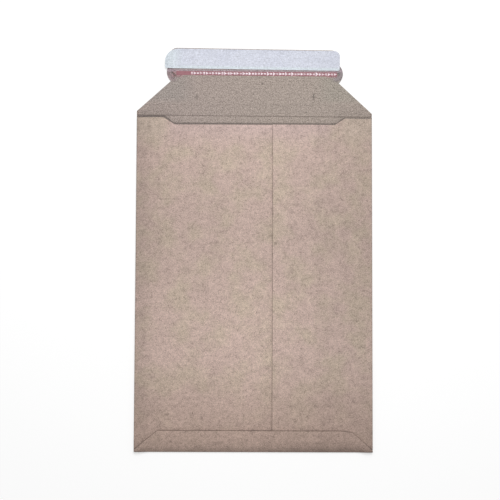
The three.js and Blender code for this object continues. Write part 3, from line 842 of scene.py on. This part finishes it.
def kraft_outer():
    """The outer face: warm kraft, pinker at the mouth, with painted shade towards the folds, the
    bottom and beside the layers' edges, and painted light in the middle.
    """
    f = Finish("kraft_outer_face", 0.62)
    flat, u, _, _ = f.sheet()
    x, y, _ = f.axes(f.stored("place"))
    aside, up, from_end = f.size(x), f.minus(y, PANEL_END), f.minus(y, BOTTOM_END)

    patches = f.noise(f.scaled(flat, FLAT, (20, 90, 0)), 0.035, 3, 0.5)
    by_mouth = f.remap(y, -38, -12)
    colour = f.tinted(
        f.mix(f.remap(patches, 0.4, 0.68), rgb(191, 168, 158), rgb(187, 169, 153)),
        (f.remap(up, -10, 100, 0.85, 0), rgb(190, 165, 152)),
        (f.times(by_mouth, f.band(x, -5, 78, 14)), rgb(191, 168, 161)),
        (f.times(by_mouth, f.remap(aside, 85, 98)), rgb(188, 170, 156)),
    )

    # Painted light and shade, as slow changes of the brightness: along what, from where to where,
    # from factor to factor
    painted_shading = (
        (aside, HALF_WIDTH - 45, HALF_WIDTH, 1, 0.9),
        (aside, 8, 55, 1.05, 1),
        (x, 4 - HALF_WIDTH, 22 - HALF_WIDTH, 0.91, 1),
        (x, 0, 45, 1, 0.97),
        (x, HIDDEN_X - 4, HIDDEN_X + 8, 1, 0.94),
        (x, HALF_WIDTH - 32, HALF_WIDTH - 12, 1, 1.045),
        (up, 235, 290, 1, 1.035),
        (up, 5, 95, 0.82, 1),
        (from_end, 0, 15, 0.87, 1, False),
        (from_end, 0, 7, 0.8, 1, False),
    )
    # Painted light and shade along x that holds in a part of the height, and the factor that it
    # changes
    partial_painted_shading = (
        ((up, 110, 225), (0, 45, -0.14, -0.07), 1.1),
        ((up, 90, 200), (22, 45, 0, -0.03), 1.0),
        ((up, 0, 35, 1, 0), (-110, -85, 0.05, 0), 1.0),
        ((from_end, 0, 17, 1, 0), (22, 45, 0, -0.05), 1.0),
    )
    light = varied(f, flat, ((0.045, 0.2), (0.11, 0.36), (0.28, 0.48), (0.6, 0.45), (1.2, 1.5)))
    light = f.times(light, *(f.remap(*fade) for fade in painted_shading))
    for part, across, factor in partial_painted_shading:
        light = f.times(light, f.line(f.remap(*part), f.remap(x, *across), factor))

    # Painted shade in the crevices beside the seam's edge and just above the bottom flap's edge
    seam = f.remap(x, SEAM_X - 0.9, SEAM_X - 0.3, 0, 0.5)
    seam = f.times(seam, f.calc("LESS_THAN", u, 0.0))
    on_panel = f.calc("GREATER_THAN", f.size(u), HALF_WIDTH)
    above_flap = f.minus(y, bottom_flap_edge(f, x))
    below = f.times(f.remap(above_flap, 0.4, 1.0, 1.4, 0), on_panel)
    light = f.toned(light, f.larger(seam, below), -PAINTED_CREVICE_SHADE)

    hairs = f.plus(fibres(f, flat, 0.24, (5, 31, 0), 0.05), fibres(f, flat, 0.36, (47, 3, 0), 0.06))
    dots = specks(f, flat, 0.2, (0, 0, 0), 0.16, 0.5), specks(f, flat, 0.45, (9, 5, 0), 0.24, 0.2)
    marks = f.line(hairs, 0.26, f.times(f.plus(*dots), 0.1))
    light = f.toned(light, f.calc("MINIMUM", marks, DARKEST))
    light = f.toned(light, specks(f, flat, 0.35, (3, 8, 0), 0.25, 0.35), 0.07)
    relief = f.plus(f.noise(flat, 1.1, 5, 0.65), f.noise(flat, 0.2, 2))
    return f.finish(colour, relief, 0.05, light)


# Two register marks, each a plus, and a speck: x, y, half the size each way, strength
PRINTED_MARKS = (
    (-60.5, 19.3, 2.6, 0.3, 1.0),
    (-60.5, 19.3, 0.3, 3.0, 1.8),
    (62.2, 20.0, 2.6, 0.4, 1.8),
    (62.2, 20.0, 0.5, 3.2, 2.5),
    (8.2, 33.6, 1.0, 0.9, 2.5),
)


def painted_cut_shade(f, x, y, a, b):
    """1 along the line from a to b, for the painted shade in a cut."""
    middle, along = (a + b) / 2, (b - a).normalized()
    over = f.line(y, along.y, f.line(x, along.x, -middle.dot(along)))
    off_line = f.line(x, -along.y, middle.x * along.y - middle.y * along.x)
    off_line = f.line(y, along.x, off_line)
    return f.times(f.band(over, 0, (b - a).length / 2, BLUR), f.band(off_line, 0, 0.8, 0.5))


def kraft_inner():
    """The inner face: greyer, with the creases, the printed marks and darker, pinker tabs, and
    painted shade in the creases, at the mouth and in the slits.
    """
    f = Finish("kraft_inner_face", 0.66)
    flat, x, y, _ = f.sheet()
    aside = f.size(x)

    rightwards = f.remap(x, -10, 10)
    shoulders = f.times(f.remap(aside, 56, 84), f.remap(y, 10, 20))
    tabs = f.times(f.remap(aside, HEAD_X - 10, HEAD_X - 4), f.remap(y, 34, 39))
    stained = f.times(f.band(aside, 81, 4, 3), f.band(y, TEAR_Y, 2.5, 2.5), 0.8)
    above_tape = f.times(f.band(y, TEAR_Y + TEAR_WIDTH / 2 + 1, 0.8, 1), 0.7)
    colour = f.tinted(
        f.mix(f.remap(x, -90, 40), rgb(164, 150, 143), rgb(165, 152, 143)),
        (shoulders, f.mix(rightwards, rgb(156, 146, 140), rgb(158, 149, 139))),
        (tabs, f.mix(rightwards, rgb(148, 130, 132), rgb(143, 133, 134))),
        (stained, rgb(163, 128, 131)),
        (above_tape, rgb(162, 146, 154)),
    )

    light = varied(f, flat, ((0.07, 0.12), (0.3, 0.4), (0.8, 1.3), (1.4, 2.5)), streaked=0.45)
    # Painted shade on the back just above the front panels' edge at the mouth, where the pocket
    # opens
    left_notch = f.remap(x, *NOTCH_LEFT, -SHOULDER_DROP_LEFT, -NOTCH_DROP)
    right_notch = f.remap(x, *NOTCH_RIGHT[::-1], -NOTCH_DROP, -SHOULDER_DROP_RIGHT)
    full, gone = (f.remap(x, 84, 96, *reach) for reach in ((1.8, 0.6), (3.3, 1.6)))
    above_notch = f.minus(y, f.larger(left_notch, right_notch))
    light = f.toned(light, f.remap(above_notch, full, gone, 1.5, 0), -PAINTED_CREVICE_SHADE)
    # Painted shade just past the mouth crease, deeper towards the sides
    root = f.times(f.remap(y, 2, 14, 1, 0), f.remap(aside, 72, 104, 0, 0.11))
    light = f.toned(light, root)
    wave = f.calc("COSINE", f.times(y, flute_angle(1)))
    # Painted light and shade of the flutes' washboard, on top of its bump
    light = f.line(wave, 0.012, light)
    # Painted shade in the mouth crease and the second crease, and the spine between them a little
    # darker
    groove_y = f.line(x, CREASE_LINE[1], CREASE_LINE[0])
    crease = f.times(f.band(y, groove_y, 0.2, 0.5), f.remap(x, -108, -80, 0.36, 0.26))
    second = f.times(f.band(y, SPINE, 0.2, 0.8), 0.1)
    spine = f.times(f.band(y, SPINE / 2, SPINE / 2 - 1, 1), 0.02)
    light = f.toned(light, f.plus(crease, second, spine))

    marks = f.plus(
        fibres(f, flat, 0.5, (5, 31, 0), 0.06),
        fibres(f, flat, 0.8, (47, 3, 0), 0.07),
        specks(f, flat, 0.5, (0, 0, 0), 0.3, 0.3),
    )
    for mark_x, mark_y, across, along, strength in PRINTED_MARKS:
        stroke = f.times(f.band(x, mark_x, across, BLUR), f.band(y, mark_y, along, BLUR))
        marks = f.line(stroke, strength, marks)
    # Painted shade along the chevron and the stop slit
    for line, strengths in zip(slit_lines, ((2.6, 0.7), (2.0,))):
        for a, b, strength in zip(line, line[1:], strengths):
            marks = f.line(painted_cut_shade(f, x, y, a, b), strength, marks)
    light = f.toned(light, f.calc("MINIMUM", f.times(marks, 0.2), DARKEST))
    relief = f.line(wave, 0.3, f.noise(flat, 1.4, 4, 0.7))
    return f.finish(colour, relief, 0.03, light)


def board_edge():
    """Cut board: two facings, and between them the waves of the fluting, with painted shade in the
    hollows of the flutes.
    """
    f = Finish("board_cut_edge", 0.8)
    _, _, y, w = f.sheet()
    wave = f.calc("SINE", f.times(y, flute_angle(1)))
    medium = f.band(w, f.line(wave, 0.3, 0.5), 0.06, 0.06)
    facing = f.remap(f.size(f.minus(w, 0.5)), 0.3, 0.42)
    rough = f.noise(f.stored("sheet"), 1.7, 3, 0.7)
    # The hollows between the medium and the facings are painted dark, as their shade
    colour = f.mix(f.larger(medium, facing), rgb(112, 92, 77), rgb(182, 161, 147))
    return f.finish(colour, rough, 0.1, f.remap(rough, 0.3, 0.7, 0.88, 1.1, soft=False))


def liner_paper():
    """Bluish release paper, with painted highlight at its curled left end and beside its lifted
    lower edge.
    """
    f = Finish("release_paper", 0.32)
    flat, x, y, _ = f.sheet()
    cloud = f.noise(f.scaled(flat, (0.5, 1, 0), (3, 8, 0)), 0.1, 3, 0.55)
    lower_edge = LINER_Y - LINER_WIDTH / 2
    level_y = f.line(x, math.tan(LINER_SKEW), y)
    # Paler, a little greener, where the lower edge lifts and the left end curls up: painted
    # highlight
    lip = f.remap(level_y, lower_edge + 2, lower_edge + 4, 1, 0)
    end = f.remap(x, -HEAD_X, 18 - HEAD_X, 1, 0)
    colour = f.tinted(
        f.mix(f.remap(cloud, 0.3, 0.7), rgb(196, 199, 212), rgb(202, 205, 217)),
        (f.times(f.larger(lip, end), 0.85), rgb(202, 211, 217)),
    )
    light = varied(f, flat, ((0.12, 0.1), (0.35, 0.4), (0.6, 0.5), (1.2, 0.75)), streaked=0.3)
    # Painted shade towards the right end
    light = f.times(light, f.remap(x, 30, 85, 1, 0.96))
    relief = f.line(cloud, 4.0, f.noise(flat, 1.6, 3, 0.7))
    return f.finish(colour, relief, 0.03, light)


TAPE_REPEAT = 6.4  # length of one arrow and one dash
TAPE_PLAIN = 23  # how far the tape is plain from the head's left side


def red_tape():
    """Tear tape, plain at its start and then with generic arrows and dashes."""
    f = Finish("tear_tape_film", 0.5, gloss=0.15)
    flat, x, y, _ = f.sheet()
    cloud = f.noise(f.scaled(flat, (0.35, 1, 0)), 0.5, 3, 0.6)
    fine = f.noise(flat, 2.4, 2, 0.6)
    step = f.times(f.calc("FRACT", f.calc("DIVIDE", x, TAPE_REPEAT)), TAPE_REPEAT)
    middle = f.line(x, -math.tan(TEAR_SKEW), TEAR_Y)
    size = f.remap(f.noise(f.scaled(flat, (0.16, 0, 0)), 1.0, 1), 0.4, 0.6, 0.75, 1.35)
    rise = f.times(f.size(f.minus(y, middle)), size)
    tip = f.minus(f.line(rise, -1.9, 3.4), step)
    arrow = f.times(f.remap(tip, 0.0, 0.35), f.remap(step, 0.0, 0.3))
    dash = f.times(f.band(step, 4.6, 0.9, 0.25), f.remap(rise, 0.8, 1.1, 1.0, 0.0))
    printed = f.remap(x, TAPE_PLAIN - 0.5 - HEAD_X, TAPE_PLAIN + 0.5 - HEAD_X)
    worn = f.remap(f.noise(f.scaled(flat, (0.4, 1, 0)), 0.6, 2), 0.35, 0.6, 0.45, 1)
    colour = f.tinted(
        f.mix(f.remap(cloud, 0.3, 0.7), rgb(150, 99, 107), rgb(161, 115, 121)),
        (f.times(f.larger(arrow, dash), printed, worn), rgb(248, 234, 240)),
    )
    return f.finish(colour, fine, 0.02, f.remap(fine, 0.3, 0.7, 0.95, 1.05, soft=False))


def dried_glue():
    f = Finish("dried_glue", 0.4)
    streak = f.noise(f.scaled(f.stored("sheet"), (1, 0.25, 0)), 0.5, 4, 0.6)
    colour = f.mix(f.remap(streak, 0.35, 0.65), rgb(198, 176, 140), rgb(214, 200, 172))
    return f.finish(colour, streak, 0.1)


def tacky_adhesive():
    """In the object's metres, because the solid keeps no places in a sheet."""
    f = Finish("pressure_sensitive_adhesive", 0.22)
    point = f.add("ShaderNodeTexCoord").outputs["Object"]
    ripple = f.noise(f.scaled(point, (500, 1000, 1000)), 1.0, 3, 0.6)
    colour = f.mix(f.remap(ripple, 0.35, 0.65), rgb(206, 203, 190), rgb(220, 218, 208))
    return f.finish(colour, ripple, 0.05)


board_materials = [kraft_outer(), kraft_inner(), board_edge()]

# The board, in two pieces that meet midway between the creases

to_fold = (0, 4, FOLD_X - 20, 2, FOLD_X - 6, 0.8, FOLD_X)
half_columns = stepped(*to_fold, 0.3, FOLD_X + FOLD_ARC, 4, panel_u(SEAM_X, 1))
sheet_columns = joined(-half_columns, half_columns)
flap_end = PANEL_END - BOTTOM_ARC
in_bottom = (flap_end - 20, 2, flap_end, 0.6, PANEL_END - 10, 0.3, PANEL_END - 3.6, 0.6)
in_panels = (PANEL_END, 2, PANEL_END + 14, 4, -NOTCH_DROP - 4, 0.45)
sheet_rows = stepped(*in_bottom, *in_panels, -2, 0.3, 2, 0.4, MEETING)
flap_rows = stepped(MEETING, 0.4, SPINE - 2, 0.3, SPINE + 2, 0.42, FLAP_REACH + 3)
envelope_board = sheet_piece(
    "envelope_board", [envelope_outline()], sheet_columns, sheet_rows, fold_up, board_materials,
    real=lambda a, b: min(a[1], b[1]) < MEETING - NEAR, step=0.45,
)
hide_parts("envelope_body", "flap_spine")


def lie_flat(u, v):
    """The flap's two faces. The slits, cut from the inner face, close towards the outer one."""
    outer, inner = layer(u, v, 0 * u, BOARD)
    flat = outer[:, :2].copy()
    for line in slit_lines:
        for a, b in zip(np.array(line), np.array(line[1:])):
            t = np.clip(((flat - a) @ (b - a)) / ((b - a) @ (b - a)), 0, 1)
            away = flat - a - t[:, None] * (b - a)
            gap = np.hypot(away[:, 0], away[:, 1])
            near = gap < SLIT_WIDTH * 0.8
            closing = 1 - SLIT_CLOSED / np.maximum(gap, SLIT_CLOSED)
            outer[near, :2] -= (away * closing[:, None])[near]
    return outer, inner


flap_loops = [flap_above(), *(slit(line) for line in slit_lines)]
closing_flap_board = sheet_piece(
    "closing_flap_board", flap_loops, sheet_columns, flap_rows, lie_flat, board_materials,
    real=lambda a, b: max(a[1], b[1]) > MEETING + NEAR, step=0.45, steep=True,
)
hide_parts("closing_flap")


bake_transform(envelope_board)
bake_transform(closing_flap_board)

# Strips on the closing flap


def liner_place(u, v):
    """Flat on the adhesive, free at its edges, with its left end curled up."""
    curl_start = LINER_CURL_LENGTH - HEAD_X - LINER_PAST_LEFT
    lift = LINER_CURL_HEIGHT * np.maximum((curl_start - u) / LINER_CURL_LENGTH, 0) ** 2
    free = np.abs(v - LINER_Y) - ADHESIVE_WIDTH / 2
    lip = smooth(free, 0, 3) * (0.1 + 0.12 * np.sin(u / 13 + 1) ** 2 + 0.06 * np.sin(u / 4.3))
    crease = 0.12 * np.exp(-(((u - LINER_CREASE) / 0.8) ** 2))
    return layer(u, v, BOARD + ADHESIVE_THICKNESS + lift + lip + crease, LINER_THICKNESS)


left, right = -HEAD_X - LINER_PAST_LEFT, HEAD_X + LINER_PAST_RIGHT
low, high = LINER_Y - LINER_WIDTH / 2, LINER_Y + LINER_WIDTH / 2
corners = zip(rectangle(left, right, low, high), LINER_CORNERS)
beside_crease = (LINER_CREASE - 5, 0.5, LINER_CREASE + 5)
liner = sheet_piece(
    "release_liner_paper",
    [skewed(rounded([(*corner, radius) for corner, radius in corners]), LINER_SKEW)],
    stepped(left - 3, 0.7, left + 14, 2, *beside_crease, 2, right + 3),
    stepped(low - 3, 0.5, low + 5, 2, high - 5, 0.5, high + 3),
    liner_place, [liner_paper()], board=False, step=1,
)
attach(liner, "flap")
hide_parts("release_liner")


def tape_place(u, v):
    """Just above the board, slightly rippled."""
    z = BOARD + 0.045 + 0.03 * np.sin(u / 5) * np.sin(u / 23 + 2)
    return layer(u, v, z, TEAR_THICKNESS)


left, right = TEAR_START - HEAD_X, HEAD_X - TEAR_END
low, high = TEAR_Y - TEAR_WIDTH / 2, TEAR_Y + TEAR_WIDTH / 2
tape = sheet_piece(
    "tear_tape",
    [skewed(rectangle(left, right, low, high), TEAR_SKEW)],
    spread(left - 1, right + 1, 0.8),
    spread(low - 1, high + 1, 0.7),
    tape_place, [red_tape()], board=False, step=0.8,
)
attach(tape, "flap")
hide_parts("tear_strip")

adhesive = frame["nodes"]["adhesive_strip"]
adhesive.data.materials.clear()
adhesive.data.materials.append(tacky_adhesive())

# Glue between the layers

glue = dried_glue()


def glue_line(name, node, under):
    """A line of glue over the rectangle of its node, with under as the height below it."""
    low, high = (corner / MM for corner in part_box(node))
    left, right = low.x + 0.01, high.x - 0.01
    bottom, top = low.y - CREASE_Y, high.y - CREASE_Y

    def place(u, v):
        return layer(u, v, under(u, v) + GLUE_CLEARANCE, LAYER_GAP - 2 * GLUE_CLEARANCE)

    outline = rounded([(x, y, 1.5) for x, y in rectangle(left, right, bottom, top)], 4)
    columns, rows = spread(left, right, 3), spread(bottom, top, 3)
    piece = sheet_piece(name, [outline], columns, rows, place, [glue], board=False)
    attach(piece, "envelope")
    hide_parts(node)


glue_line("side_seam_glue_line", "side_seam_glue", lambda x, y: left_under(x, y) + BOARD)
for node in ("bottom_glue_left", "bottom_glue_right"):
    glue_line(f"{node}_line", node, lambda x, y: bottom_flap_under(x, y) - LAYER_GAP)

# Floor, light and camera, in metres

FLOOR_HALF = 6
WHITE = (1, 1, 1, 1)
WORLD_LIGHT = 0.38
KEY_PLACE = (0.06, 0.52, 1.15)
CAMERA_TURNS = ((3.1852, "X"), (-0.5091, "Y"), (0.2427, "Z"))

floor_mesh = bpy.data.meshes.new("floor")
corners = rectangle(-FLOOR_HALF, FLOOR_HALF, -FLOOR_HALF, FLOOR_HALF)
floor_mesh.from_pydata([(x, y, 0) for x, y in corners], [], [(0, 1, 2, 3)])
floor = new_object("floor", floor_mesh)
floor.location.z = -0.0002
f = Finish("pale_floor", 0.9, gloss=0)
f.shade("Base Color", (0.6, 0.6, 0.6, 1))
f.shade("Emission Color", WHITE)
away = f.add("ShaderNodeVectorMath", operation="LENGTH")
f.put(away.inputs[0], f.add("ShaderNodeTexCoord").outputs["Object"])
glow = f.remap(away.outputs["Value"], 0.3, 1.8, 0.48, 0.95)
f.shade("Emission Strength", f.times(f.in_view(), glow))
floor_mesh.materials.append(f.material)

world = bpy.data.worlds.new("studio")
world.use_nodes = True
scene.world = world
w = Nodes(world.node_tree)
level = w.remap(w.in_view(), 0, 1, WORLD_LIGHT, 1, soft=False)
w.named(w.tree.nodes["Background"], Color=WHITE, Strength=level)

lamp = bpy.data.lights.new("key_light", "AREA")
lamp.shape = "DISK"
lamp.size = 0.9
lamp.energy = 11
key_light = new_object("key_light", lamp)
key_light.location = KEY_PLACE
key_light.rotation_euler = (-Vector(KEY_PLACE)).to_track_quat("-Z", "Y").to_euler()
key_light.visible_camera = False

camera_data = bpy.data.cameras.new("camera")
camera_data.sensor_width = 36
camera_data.lens = 76.05
camera = new_object("camera", camera_data)
camera.location = (-0.01391, -0.063268, 1.098257)
tilt = Matrix.Identity(3)
for degrees, axis in CAMERA_TURNS:
    tilt = tilt @ Matrix.Rotation(math.radians(degrees), 3, axis)
camera.rotation_euler = tilt.to_euler()
scene.camera = camera
scene.view_settings.view_transform = "Standard"
